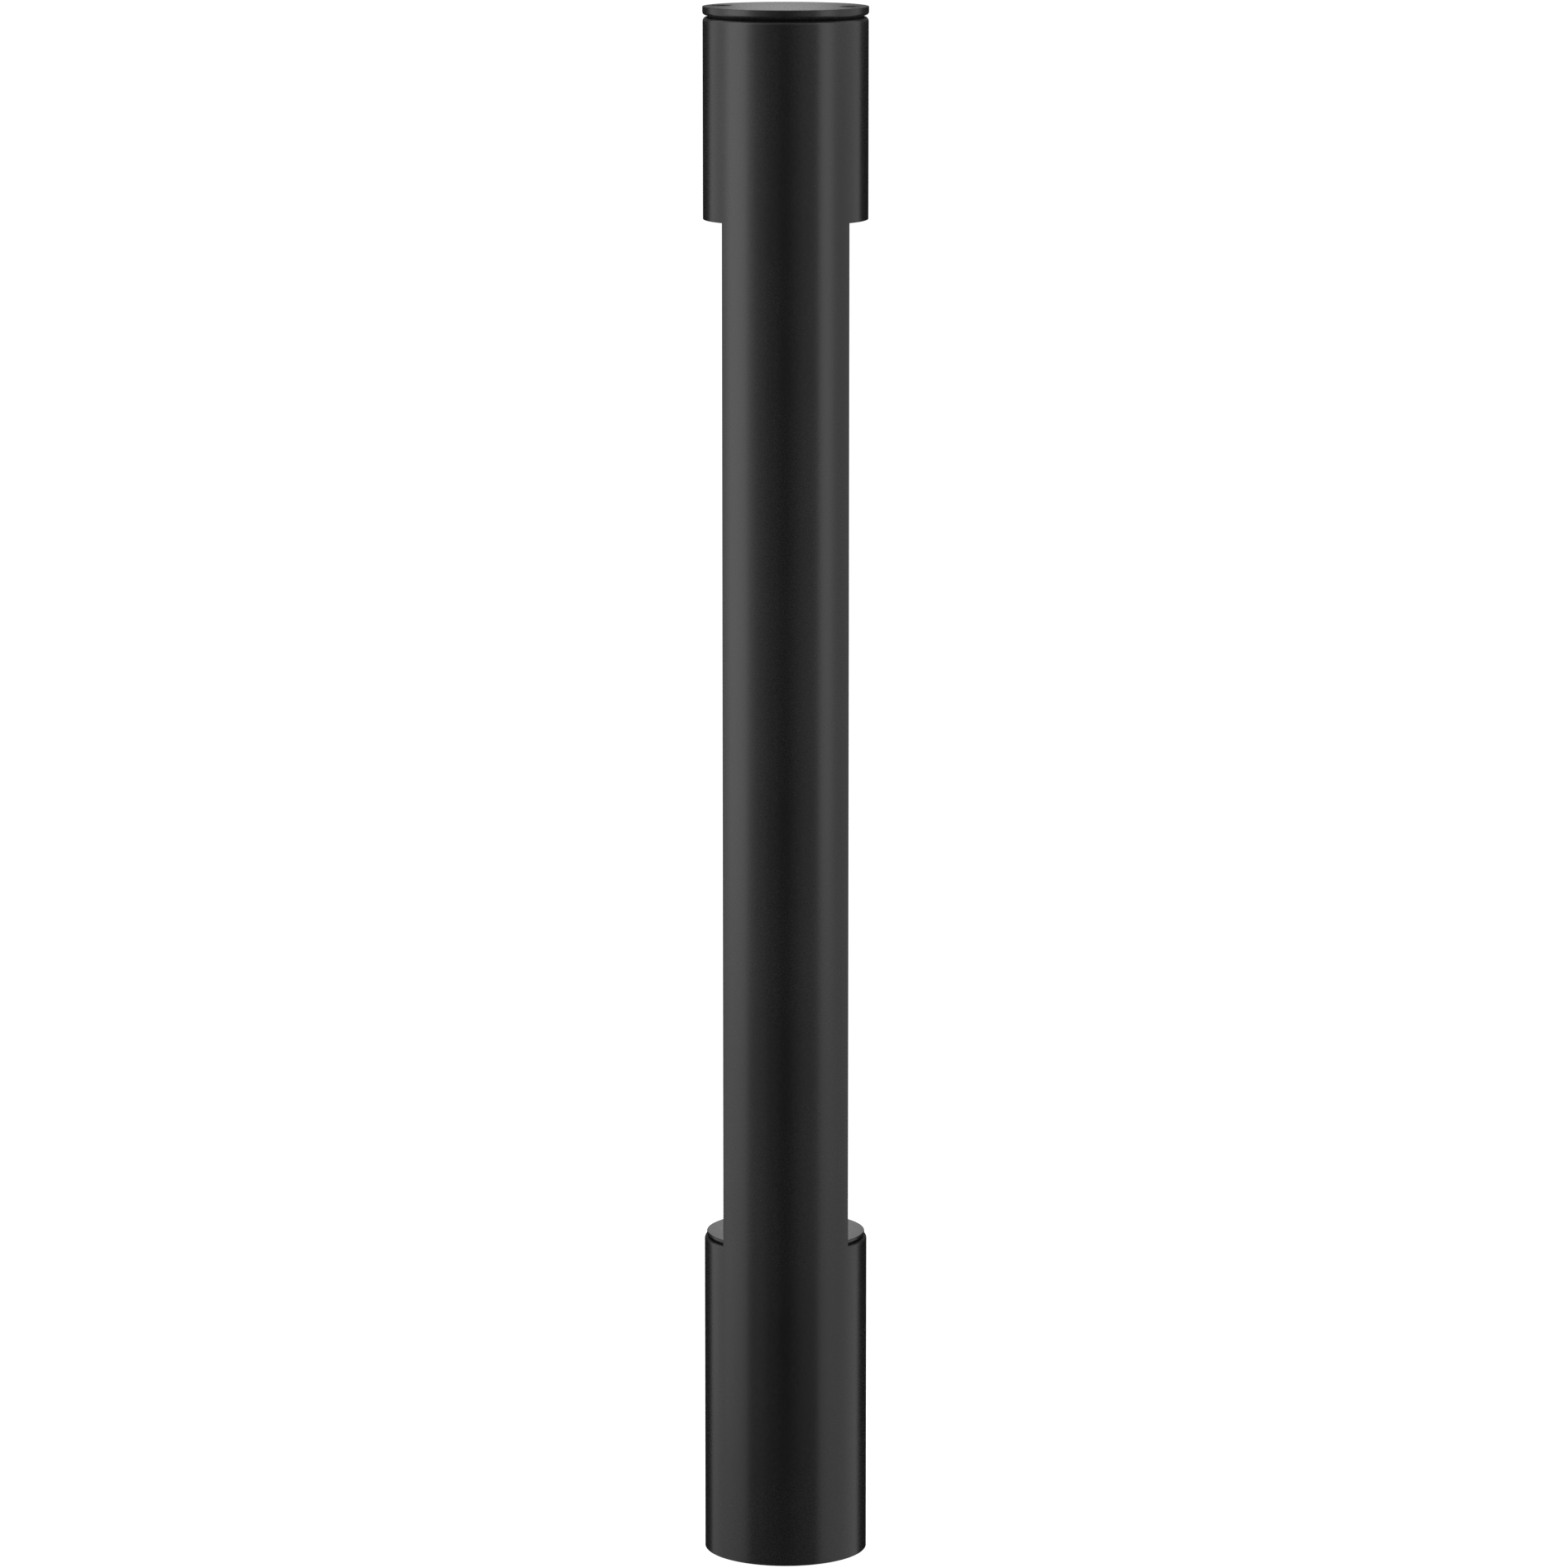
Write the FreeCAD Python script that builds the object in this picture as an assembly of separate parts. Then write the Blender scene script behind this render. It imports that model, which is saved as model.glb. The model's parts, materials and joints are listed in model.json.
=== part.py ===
import FreeCAD, Part
import math
import os

"""Round LED bollard light: a swivelling post of one tube on a ground flange, with a lift-off lid.

Millimetres. +Z is up, the origin is on the ground under the post's axis, the closed side of the
post faces -Y and the light window opens towards +Y.
"""

V = FreeCAD.Vector
UP = V(0, 0, 1)
DOWN = V(0, 0, -1)
BACK = V(0, 1, 0)
FRONT = V(0, -1, 0)

# ---- driving dimensions: the tube ----
TUBE_R = 50.0
WALL = 3.0
BORE_R = TUBE_R - WALL
TUBE_BOTTOM = 1.2
TUBE_TOP = 948.8
STRIP_HALF_ANGLE = 50.0
CUT_Y = -TUBE_R * math.cos(math.radians(STRIP_HALF_ANGLE))
BASE_RIM = 199.2
HEAD_BOTTOM = 827.0
SHOULDER_ROUND = 2.6
RIM_ROUND = 2.0

# ---- the two discs that close the tube ----
LID_R = 50.2
LID_LOW = TUBE_TOP + 1.0
LID_TOP = LID_LOW + 5.2
LID_TOP_ROUND = 0.3
LID_LOW_ROUND = 2.0
DISC_R = 48.6
DISC_LOW = BASE_RIM + 1.2
DISC_TOP = DISC_LOW + 1.8
DISC_TOP_ROUND = 0.4
DISC_BOTTOM = 190.8
SKIRT_WALL = 3.0
FRONT_TRIM_Y = -29.8

# ---- foot ----
GASKET_R = 45.0
GASKET_THICK = 2.0
SPIGOT_R = BORE_R - 0.3
SPIGOT_BORE_R = 40.7
SPIGOT_TOP = 62.0
FLANGE_TOP = 10.0
ENTRY_R = 16.0
ANCHOR_PCD = 60.0
ANCHOR_HOLE_R = 4.5
ANCHOR_ANGLES = (90, 210, 330)
GRUB_Z = 42.0
GRUB_R = 3.0
GRUB_ANGLES = (-160, -90, -20)
GROOVE_HALF = 4.0
GROOVE_R = 44.7

# ---- wiring duct behind the strip ----
DUCT_PLATE = 2.0
DUCT_HALF_W = 38.0
TONGUE_HALF_W = 33.5
TONGUE_LOW = 190.0
TONGUE_HIGH = 836.0
RIB_LEVELS = (232.0, 372.0, 512.0, 652.0, 795.0)
RIB_HALF = 4.0
DUCT_SCREW_X = 24.0
LEAD_R = 3.5
LEAD_Y = -39.5
LEAD_BEND = 18.0
GROMMET_R = 5.5

# ---- wiring box in the base ----
BRACKET_Y = 26.0
BOX_HALF_W = 28.0
BOX_FRONT_Y = -4.0
BOX_LOW = 84.0
BOX_HIGH = 146.0
BOX_WALL = 2.5
GLAND_Y = 8.0
BRIDGE_Y = 12.0
BRIDGE_LOW = 183.0
BRIDGE_HIGH = 187.0
DISC_SCREW_X = 30.0

# ---- lamp in the head ----
LAMP = V(0, 5, 0)
SOFFIT_LOW = 829.0
SOFFIT_HIGH = 832.0
APERTURE_R = 29.0
GLASS_R = 32.0
GLASS_LOW = 833.0
GLASS_HIGH = 837.0
BOARD_LOW = 854.0
BOARD_HIGH = 855.6
BOARD_R = 23.0
SINK_HIGH = 861.6
FIN_HIGH = 876.0
TRAY_LOW = 878.0
TRAY_HIGH = 879.5
POSTS = ((38.0, -12.0), (-38.0, -12.0), (0.0, 42.0))

# ---- lid fixing ----
SEAT_LOW = TUBE_TOP - 10.7
SEAT_HIGH = TUBE_TOP - 7.5
SEAT_BORE_R = 42.0
SEAL_HIGH = TUBE_TOP - 6.3
SKIRT_LOW = TUBE_TOP - 6.1
SKIRT_R = 46.5
BAND_R = 46.7
BAND_IN_R = 45.6
BAND_LOW = TUBE_TOP - 2.5
LID_SCREWS = ((38.5, -6.1), (-38.5, 6.1))
LID_SCREW_SINK = 1.2
LID_SINK_R = 6.2
LID_BOSS_LOW = TUBE_TOP - 25.5


# ---- small helpers ----
def cyl(radius, low, high, x=0.0, y=0.0):
    return Part.makeCylinder(radius, high - low, V(x, y, low))


def box(x0, x1, y0, y1, z0, z1):
    return Part.makeBox(x1 - x0, y1 - y0, z1 - z0, V(x0, y0, z0))


def ring(outer, inner, low, high, x=0.0, y=0.0):
    return cyl(outer, low, high, x, y).cut(cyl(inner, low - 1, high + 1, x, y))


def hexagon(across_flats, low, high, x=0.0, y=0.0):
    radius = across_flats / math.sqrt(3)
    corners = []
    for i in range(7):
        angle = math.radians(60 * i)
        corners.append(V(x + radius * math.cos(angle), y + radius * math.sin(angle), low))
    return Part.Face(Part.makePolygon(corners)).extrude(V(0, 0, high - low))


def join(first, *others):
    return first.fuse(list(others)).removeSplitter()


def behind(shape, y):
    """The part of a shape that lies behind the plane at y."""
    return shape.common(box(-80, 80, y, 80, -10, 1000))


def within_bore(shape):
    return shape.common(cyl(BORE_R, -10, 1000))


def rounded(shape, radius, edge_r, z):
    """Round the circular edges of one radius at one height."""
    edges = []
    for edge in shape.Edges:
        curve = edge.Curve
        if not isinstance(curve, Part.Circle):
            continue
        if abs(curve.Radius - edge_r) < 0.01 and abs(curve.Center.z - z) < 0.01:
            edges.append(edge)
    return shape.makeFillet(radius, edges)


def aimed(shape, place, direction):
    """Turn a shape made along +Z from the origin to a place and a direction."""
    shape.Placement = FreeCAD.Placement(place, FreeCAD.Rotation(UP, direction))
    return shape


def countersunk(place, direction, thread_r, length, socket=True):
    """A flat-headed screw: its head's face is at the place, its thread runs along the direction."""
    head_r = 2 * thread_r
    head = Part.makeCone(head_r, thread_r, thread_r)
    screw = join(head, cyl(thread_r, thread_r - 0.01, length))
    if socket:
        screw = screw.cut(hexagon(1.3 * thread_r, -1, 0.7 * thread_r))
    return aimed(screw, place, direction)


def pan_head(place, direction, thread_r, length, socket=True):
    """A round-headed screw: the underside of its head is at the place."""
    head = rounded(cyl(1.8 * thread_r, -1.1 * thread_r, 0), 0.5 * thread_r, 1.8 * thread_r, -1.1 * thread_r)
    screw = join(head, cyl(thread_r, -0.01, length))
    if socket:
        screw = screw.cut(hexagon(1.2 * thread_r, -2 * thread_r, -0.4 * thread_r))
    return aimed(screw, place, direction)


def lead(corners, bend, radius):
    """A round lead along straight runs, with a tangent arc of one bend radius at each corner."""
    edges = []
    start = corners[0]
    for i in range(1, len(corners) - 1):
        corner = corners[i]
        back = (corners[i - 1] - corner).normalize()
        ahead = (corners[i + 1] - corner).normalize()
        arc_in = corner + back * bend
        arc_out = corner + ahead * bend
        centre = corner + (back + ahead) * bend
        middle = centre - (back + ahead).normalize() * bend
        edges.append(Part.makeLine(start, arc_in))
        edges.append(Part.Arc(arc_in, middle, arc_out).toShape())
        start = arc_out
    edges.append(Part.makeLine(start, corners[-1]))
    path = Part.Wire(edges)
    way = (corners[1] - corners[0]).normalize()
    section = Part.Wire([Part.makeCircle(radius, corners[0], way)])
    return path.makePipeShell([section], True, True)


def group(shapes):
    return Part.makeCompound(shapes)


def cut_all(shape, tools):
    for tool in tools:
        shape = shape.cut(tool)
    return shape


# ---- screws, placed once and used again for the holes they sit in ----
def grub_axis(angle):
    turn = math.radians(angle + 180)
    return V(math.cos(turn), math.sin(turn), 0)


def duct_screw_list(socket):
    screws = []
    for level in RIB_LEVELS:
        for x in (-DUCT_SCREW_X, DUCT_SCREW_X):
            place = V(x, CUT_Y + DUCT_PLATE, level)
            screws.append(countersunk(place, FRONT, 1.5, 7.0, socket))
    return screws


def disc_screw_list(socket):
    xs = (-DISC_SCREW_X, DISC_SCREW_X)
    return [countersunk(V(x, BRIDGE_Y, DISC_TOP), DOWN, 2.0, 19.0, socket) for x in xs]


def soffit_screw_list(socket):
    return [countersunk(V(x, y, SOFFIT_LOW), UP, 2.0, 22.0, socket) for x, y in POSTS]


def lid_screw_list(socket):
    top = LID_TOP - LID_SCREW_SINK
    return [countersunk(V(x, y, top), DOWN, 3.0, 22.0, socket) for x, y in LID_SCREWS]


def tray_screw_list(socket):
    return [pan_head(V(x, y, TRAY_HIGH), DOWN, 2.0, 21.5, socket) for x, y in POSTS]


def box_screw_list(socket):
    places = [(x, z) for x in (-21.0, 21.0) for z in (92.0, 138.0)]
    return [pan_head(V(x, BRACKET_Y - BOX_WALL, z), BACK, 1.75, 6.0, socket) for x, z in places]


def box_lid_screw_list(socket):
    places = [(x, z) for x in (-24.5, 24.5) for z in (BOX_LOW + 3.5, BOX_HIGH - 3.5)]
    return [pan_head(V(x, BOX_FRONT_Y - 3.0, z), BACK, 1.5, 9.0, socket) for x, z in places]


def driver_screw_list(socket):
    return [pan_head(V(x, 6.0, TRAY_HIGH + 2.0), DOWN, 1.5, 5.0, socket) for x in (-32.5, 32.5)]


# ---- foot: stays on the ground ----
def ground_gasket():
    gasket = ring(GASKET_R, ENTRY_R + 1, 0, GASKET_THICK)
    return cut_all(gasket, anchor_holes(ANCHOR_HOLE_R + 0.5))


def anchor_holes(radius):
    holes = []
    for angle in ANCHOR_ANGLES:
        turn = math.radians(angle)
        x = ANCHOR_PCD / 2 * math.cos(turn)
        y = ANCHOR_PCD / 2 * math.sin(turn)
        holes.append(cyl(radius, -1, FLANGE_TOP + 1, x, y))
    return holes


def mounting_flange():
    plate = ring(SPIGOT_R, ENTRY_R, GASKET_THICK, FLANGE_TOP)
    spigot = ring(SPIGOT_R, SPIGOT_BORE_R, FLANGE_TOP - 0.5, SPIGOT_TOP)
    lead_in = Part.makeCone(SPIGOT_R + 2, SPIGOT_R - 2, 4, V(0, 0, SPIGOT_TOP - 2.5))
    spigot = spigot.common(join(cyl(SPIGOT_R + 2, 0, SPIGOT_TOP - 2.5), lead_in))
    groove = ring(TUBE_R, GROOVE_R, GRUB_Z - GROOVE_HALF, GRUB_Z + GROOVE_HALF)
    return cut_all(join(plate, spigot), [groove] + anchor_holes(ANCHOR_HOLE_R))


# ---- post: tube, discs and duct ----
def tube_section(low, high, round_r):
    """One full ring of the tube, its upper outer edge rounded."""
    outer = rounded(cyl(TUBE_R, low, high), round_r, TUBE_R, high)
    return outer.cut(cyl(BORE_R, low - 1, high + 1))


def post_tube():
    base = tube_section(TUBE_BOTTOM, BASE_RIM, RIM_ROUND)
    head = tube_section(HEAD_BOTTOM, TUBE_TOP, SHOULDER_ROUND)
    strip = ring(TUBE_R, BORE_R, BASE_RIM - 6, HEAD_BOTTOM + 6)
    strip = strip.common(box(-TUBE_R - 1, TUBE_R + 1, -TUBE_R - 1, CUT_Y, 0, 1000))
    tube = join(base, head, strip)
    holes = []
    for angle in GRUB_ANGLES:
        way = grub_axis(angle)
        holes.append(Part.makeCylinder(GRUB_R, 2 * WALL, way * (BORE_R - WALL / 2) + V(0, 0, GRUB_Z), way))
    return cut_all(tube, holes)


def grub_screws():
    screws = []
    for angle in GRUB_ANGLES:
        way = grub_axis(angle)
        body = cyl(GRUB_R, 0, 4.2).cut(hexagon(3.0, -1, 2.2))
        screws.append(aimed(body, way * (TUBE_R - 0.6) + V(0, 0, GRUB_Z), way * -1))
    return group(screws)


def base_disc():
    plate = rounded(cyl(DISC_R, DISC_LOW, DISC_TOP), DISC_TOP_ROUND, DISC_R, DISC_TOP)
    web = cyl(BORE_R - 0.4, DISC_LOW - 1.5, DISC_LOW + 0.1)
    skirt = ring(BORE_R - 0.4, BORE_R - 0.4 - SKIRT_WALL, DISC_BOTTOM, DISC_LOW)
    groove = ring(TUBE_R, BORE_R - 1.4, DISC_BOTTOM + 1.5, DISC_BOTTOM + 5.0)
    disc = behind(join(plate, web, skirt), FRONT_TRIM_Y).cut(groove)
    bosses = [cyl(5.0, BRIDGE_HIGH, DISC_LOW, x, BRIDGE_Y) for x in (-DISC_SCREW_X, DISC_SCREW_X)]
    return cut_all(join(disc, *bosses), disc_screw_list(False))


def base_disc_seal():
    seal = ring(BORE_R, BORE_R - 1.4, DISC_BOTTOM + 1.5, DISC_BOTTOM + 5.0)
    return behind(seal, FRONT_TRIM_Y)


def base_bridge():
    bar = within_bore(box(-60, 60, BRIDGE_Y - 7, BRIDGE_Y + 7, BRIDGE_LOW, BRIDGE_HIGH))
    return cut_all(bar, disc_screw_list(False))


def duct_cover():
    back = CUT_Y + DUCT_PLATE
    plate = box(-DUCT_HALF_W, DUCT_HALF_W, CUT_Y, back, BASE_RIM + 0.3, HEAD_BOTTOM - 0.3)
    long_edges = []
    for edge in plate.Edges:
        ends = [v.Point for v in edge.Vertexes]
        if abs(ends[0].z - ends[1].z) > 1 and abs(ends[0].y - back) < 0.01:
            long_edges.append(edge)
    plate = plate.makeFillet(0.8, long_edges)
    tongue = box(-TONGUE_HALF_W, TONGUE_HALF_W, CUT_Y, back, TONGUE_LOW, TONGUE_HIGH)
    return cut_all(join(plate, tongue), duct_screw_list(False))


def duct_ribs():
    ribs = []
    for level in RIB_LEVELS:
        rib = cyl(BORE_R, level - RIB_HALF, level + RIB_HALF)
        rib = rib.common(box(-TUBE_R, TUBE_R, -TUBE_R, CUT_Y, 0, 1000))
        rib = rib.cut(cyl(GROMMET_R, level - 9, level + 9, 0, LEAD_Y))
        ribs.append(cut_all(rib, duct_screw_list(False)))
    return group(ribs)


def lead_grommets():
    grommets = []
    for level in RIB_LEVELS:
        body = cyl(GROMMET_R, level - RIB_HALF, level + RIB_HALF, 0, LEAD_Y)
        collar = cyl(GROMMET_R + 1, level + RIB_HALF, level + RIB_HALF + 1, 0, LEAD_Y)
        grommets.append(join(body, collar).cut(cyl(LEAD_R, level - 9, level + 9, 0, LEAD_Y)))
    return group(grommets)


def internal_lead():
    turn = BOX_HIGH + 30
    corners = [
        V(0, GLAND_Y, BOX_LOW + 44),
        V(0, GLAND_Y, turn),
        V(0, LEAD_Y, turn),
        V(0, LEAD_Y, 893),
        V(0, -14, 893),
    ]
    return lead(corners, LEAD_BEND, LEAD_R)


# ---- post: wiring box in the base ----
def box_bracket():
    plate = within_bore(box(-60, 60, BRACKET_Y, BRACKET_Y + 2, BOX_LOW - 8, BOX_HIGH + 10))
    stud_hole = Part.makeCylinder(2.5, 20, V(33.5, BRACKET_Y - 10, 100), BACK)
    return cut_all(plate, box_screw_list(False) + [stud_hole])


def terminal_box():
    outer = box(-BOX_HALF_W, BOX_HALF_W, BOX_FRONT_Y, BRACKET_Y, BOX_LOW, BOX_HIGH)
    inner = box(
        -BOX_HALF_W + BOX_WALL, BOX_HALF_W - BOX_WALL, BOX_FRONT_Y - 1, BRACKET_Y - BOX_WALL,
        BOX_LOW + BOX_WALL, BOX_HIGH - BOX_WALL,
    )
    shell = outer.cut(inner)
    corners = []
    for x in (-24.5, 24.5):
        for z in (BOX_LOW + 3.5, BOX_HIGH - 3.5):
            corners.append(box(x - 3, x + 3, BOX_FRONT_Y, BRACKET_Y - 1, z - 3, z + 3))
    shell = join(shell, *corners)
    holes = [cyl(8.0, BOX_LOW - 1, BOX_LOW + 4, 0, GLAND_Y), cyl(6.0, BOX_HIGH - 4, BOX_HIGH + 1, 0, GLAND_Y)]
    return cut_all(shell, holes + box_lid_screw_list(False) + box_screw_list(False))


def terminal_box_lid():
    plate = box(-BOX_HALF_W, BOX_HALF_W, BOX_FRONT_Y - 3, BOX_FRONT_Y, BOX_LOW, BOX_HIGH)
    return cut_all(plate, box_lid_screw_list(False))


def terminal_block():
    back = BRACKET_Y - BOX_WALL
    block = box(-18, 18, back - 10, back, 100, 116)
    for x in (-6, 6):
        block = block.cut(box(x - 0.8, x + 0.8, back - 11, back - 3, 99, 117))
    holes = [Part.makeCylinder(2.0, 4, V(x, back - 10, z), BACK) for x, z in terminal_places()]
    return cut_all(block, holes)


def terminal_places():
    return [(x, z) for x in (-12, 0, 12) for z in (104, 112)]


def terminal_screws():
    front = BRACKET_Y - BOX_WALL - 10
    screws = []
    for x, z in terminal_places():
        body = Part.makeCylinder(2.0, 3, V(x, front + 1, z), BACK)
        slot = box(x - 2.5, x + 2.5, front, front + 1.8, z - 0.4, z + 0.4)
        screws.append(body.cut(slot))
    return group(screws)


def gland(inside, outside, thread_r, bore_r, body_r):
    """A cable gland standing on one wall of the box: locknut inside, body and cap nut outside."""
    way = 1 if outside > inside else -1
    wall = BOX_WALL * way
    face = inside + wall

    def span(a, b):
        return min(a, b), max(a, b)

    thread = cyl(thread_r, *span(inside - 4 * way, face), 0, GLAND_Y)
    locknut = hexagon(1.8 * body_r, *span(inside - 4 * way, inside), 0, GLAND_Y)
    body = hexagon(1.8 * body_r, *span(face, face + 5 * way), 0, GLAND_Y)
    cap = cyl(body_r * 0.86, *span(face + 4.9 * way, outside), 0, GLAND_Y)
    cap = rounded(cap, 1.5, body_r * 0.86, outside)
    shape = join(thread, locknut, body, cap)
    return shape.cut(cyl(bore_r, BOX_LOW - 40, BOX_HIGH + 40, 0, GLAND_Y))


def mains_gland():
    return gland(BOX_LOW + BOX_WALL, BOX_LOW - 18, 8.0, 5.0, 12.0)


def lead_gland():
    return gland(BOX_HIGH - BOX_WALL, BOX_HIGH + 12, 6.0, LEAD_R, 9.0)


def earth_stud():
    stud = Part.makeCylinder(2.5, 16, V(33.5, BRACKET_Y - 14, 100), BACK)
    nut = aimed(hexagon(8.0, 0, 4), V(33.5, BRACKET_Y, 100), FRONT)
    washer = Part.makeCylinder(5.0, 1, V(33.5, BRACKET_Y - 5, 100), BACK)
    return join(stud, nut, washer)


# ---- post: lamp in the head ----
def lamp_cyl(radius, low, high):
    return cyl(radius, low, high, LAMP.x, LAMP.y)


def soffit_ring():
    plate = behind(cyl(BORE_R - 0.3, SOFFIT_LOW, SOFFIT_HIGH), FRONT_TRIM_Y)
    flare = Part.makeCone(APERTURE_R + 2.0, APERTURE_R, 2.0, V(LAMP.x, LAMP.y, SOFFIT_LOW))
    return cut_all(plate, [lamp_cyl(APERTURE_R, 0, 1000), flare] + soffit_screw_list(False))


def glass_gasket():
    return lamp_cyl(GLASS_R, SOFFIT_HIGH, GLASS_LOW).cut(lamp_cyl(APERTURE_R + 0.5, 0, 1000))


def cover_glass():
    return lamp_cyl(GLASS_R, GLASS_LOW, GLASS_HIGH)


def reflector():
    top = BOARD_LOW - 1.6
    tall = top - GLASS_HIGH
    at = V(LAMP.x, LAMP.y, GLASS_HIGH)
    outer = Part.makeCone(GLASS_R - 0.5, BOARD_R - 1.5, tall, at)
    inner = Part.makeCone(GLASS_R - 1.7, BOARD_R - 2.7, tall, at)
    collar = lamp_cyl(BOARD_R + 1, top, BOARD_LOW).cut(lamp_cyl(BOARD_R - 2.7, 0, 1000))
    return join(outer.cut(inner), collar)


def led_board():
    return lamp_cyl(BOARD_R, BOARD_LOW, BOARD_HIGH).cut(lamp_cyl(1.5, 0, 1000))


def led_chips():
    chips = []
    for count, radius in ((4, 6.5), (10, 14.5)):
        for i in range(count):
            turn = 2 * math.pi * i / count
            x = LAMP.x + radius * math.cos(turn)
            y = LAMP.y + radius * math.sin(turn)
            chips.append(box(x - 1.5, x + 1.5, y - 1.5, y + 1.5, BOARD_LOW - 0.8, BOARD_LOW))
    return group(chips)


def heat_sink():
    plate = behind(cyl(BORE_R, BOARD_HIGH, SINK_HIGH), FRONT_TRIM_Y)
    posts = [cyl(3.8, SOFFIT_HIGH, BOARD_HIGH + 0.1, x, y) for x, y in POSTS]
    core = lamp_cyl(31, SINK_HIGH - 0.1, FIN_HIGH)
    fins = [box(x - 1, x + 1, -50, 50, SINK_HIGH - 0.1, FIN_HIGH).common(core) for x in range(-27, 28, 6)]
    sink = join(plate, *posts, *fins)
    holes = [lamp_cyl(2.2, 0, 1000)] + soffit_screw_list(False) + tray_screw_list(False)
    return cut_all(sink, holes)


def tray_spacers():
    return group([ring(4.0, 2.0, SINK_HIGH, TRAY_LOW, x, y) for x, y in POSTS])


def driver_tray():
    tray = behind(cyl(BORE_R - 0.6, TRAY_LOW, TRAY_HIGH), FRONT_TRIM_Y + 1.8)
    holes = [lamp_cyl(2.2, 0, 1000)] + tray_screw_list(False) + driver_screw_list(False)
    return cut_all(tray, holes)


def led_driver():
    case = box(-29, 29, -14, 26, TRAY_HIGH, TRAY_HIGH + 25)
    case = case.makeFillet(2.5, [e for e in case.Edges if abs(e.Vertexes[0].Z - e.Vertexes[-1].Z) > 1])
    ears = box(-36, 36, 1, 11, TRAY_HIGH, TRAY_HIGH + 2)
    driver = join(case, ears)
    socket = Part.makeCylinder(LEAD_R, 1, V(0, -14, 893), BACK)
    return cut_all(driver, driver_screw_list(False) + [socket])


def led_lead():
    return lamp_cyl(1.5, BOARD_LOW + 0.2, TRAY_HIGH)


# ---- post: the seat the lid rests on ----
def lid_seat():
    seat = ring(BORE_R, SEAT_BORE_R, SEAT_LOW, SEAT_HIGH)
    bosses = [cyl(6.0, LID_BOSS_LOW, SEAT_HIGH, x, y) for x, y in LID_SCREWS]
    holes = [cyl(3.3, LID_BOSS_LOW + 2, SEAT_HIGH + 1, x, y) for x, y in LID_SCREWS]
    return cut_all(join(seat, *bosses), holes)


def lid_seal():
    seal = ring(SKIRT_R, SEAT_BORE_R + 0.5, SEAT_HIGH, SEAL_HIGH)
    return cut_all(seal, [cyl(7.0, 0, 1000, x, y) for x, y in LID_SCREWS])


# ---- lid: lifts off ----
def top_lid():
    plate = rounded(cyl(LID_R, LID_LOW, LID_TOP), LID_TOP_ROUND, LID_R, LID_TOP)
    plate = rounded(plate, LID_LOW_ROUND, LID_R, LID_LOW)
    skirt = ring(SKIRT_R, SKIRT_R - SKIRT_WALL, SKIRT_LOW, LID_LOW + 0.1)
    bosses = [cyl(6.0, SKIRT_LOW, LID_LOW + 0.1, x, y) for x, y in LID_SCREWS]
    groove = ring(SKIRT_R + 1, BAND_IN_R, BAND_LOW, LID_LOW)
    sinks = [cyl(LID_SINK_R, LID_TOP - LID_SCREW_SINK, LID_TOP + 1, x, y) for x, y in LID_SCREWS]
    return cut_all(join(plate, skirt, *bosses), [groove] + sinks + lid_screw_list(False))


def lid_band():
    """The rubber band round the skirt, which centres the lid and closes the gap under it."""
    return ring(BAND_R, BAND_IN_R, BAND_LOW, LID_LOW)


PARTS = {
    "ground_gasket": ground_gasket,
    "mounting_flange": mounting_flange,
    "post_tube": post_tube,
    "grub_screws": grub_screws,
    "base_disc": base_disc,
    "base_disc_seal": base_disc_seal,
    "base_disc_screws": lambda: group(disc_screw_list(True)),
    "base_bridge": base_bridge,
    "duct_cover": duct_cover,
    "duct_cover_screws": lambda: group(duct_screw_list(True)),
    "duct_ribs": duct_ribs,
    "lead_grommets": lead_grommets,
    "internal_lead": internal_lead,
    "box_bracket": box_bracket,
    "terminal_box": terminal_box,
    "terminal_box_lid": terminal_box_lid,
    "box_lid_screws": lambda: group(box_lid_screw_list(True)),
    "box_screws": lambda: group(box_screw_list(True)),
    "terminal_block": terminal_block,
    "terminal_screws": terminal_screws,
    "mains_gland": mains_gland,
    "lead_gland": lead_gland,
    "earth_stud": earth_stud,
    "soffit_ring": soffit_ring,
    "soffit_screws": lambda: group(soffit_screw_list(True)),
    "glass_gasket": glass_gasket,
    "cover_glass": cover_glass,
    "reflector": reflector,
    "led_board": led_board,
    "led_chips": led_chips,
    "heat_sink": heat_sink,
    "tray_spacers": tray_spacers,
    "tray_screws": lambda: group(tray_screw_list(True)),
    "driver_tray": driver_tray,
    "led_driver": led_driver,
    "driver_screws": lambda: group(driver_screw_list(True)),
    "led_lead": led_lead,
    "lid_seat": lid_seat,
    "lid_seal": lid_seal,
    "top_lid": top_lid,
    "lid_band": lid_band,
    "lid_screws": lambda: group(lid_screw_list(True)),
}

os.makedirs("parts", exist_ok=True)
for name, build in PARTS.items():
    shape = build()
    solids = len(shape.Solids)
    print(name, "solids", solids, "valid", shape.isValid(), "volume", round(shape.Volume, 1))
    shape.exportStep("parts/" + name + ".step")
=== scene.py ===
"""Looks for the bollard light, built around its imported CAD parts. Lengths are in metres."""

import json
import math

import bmesh
import bpy
from mathutils import Matrix, Vector


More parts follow.
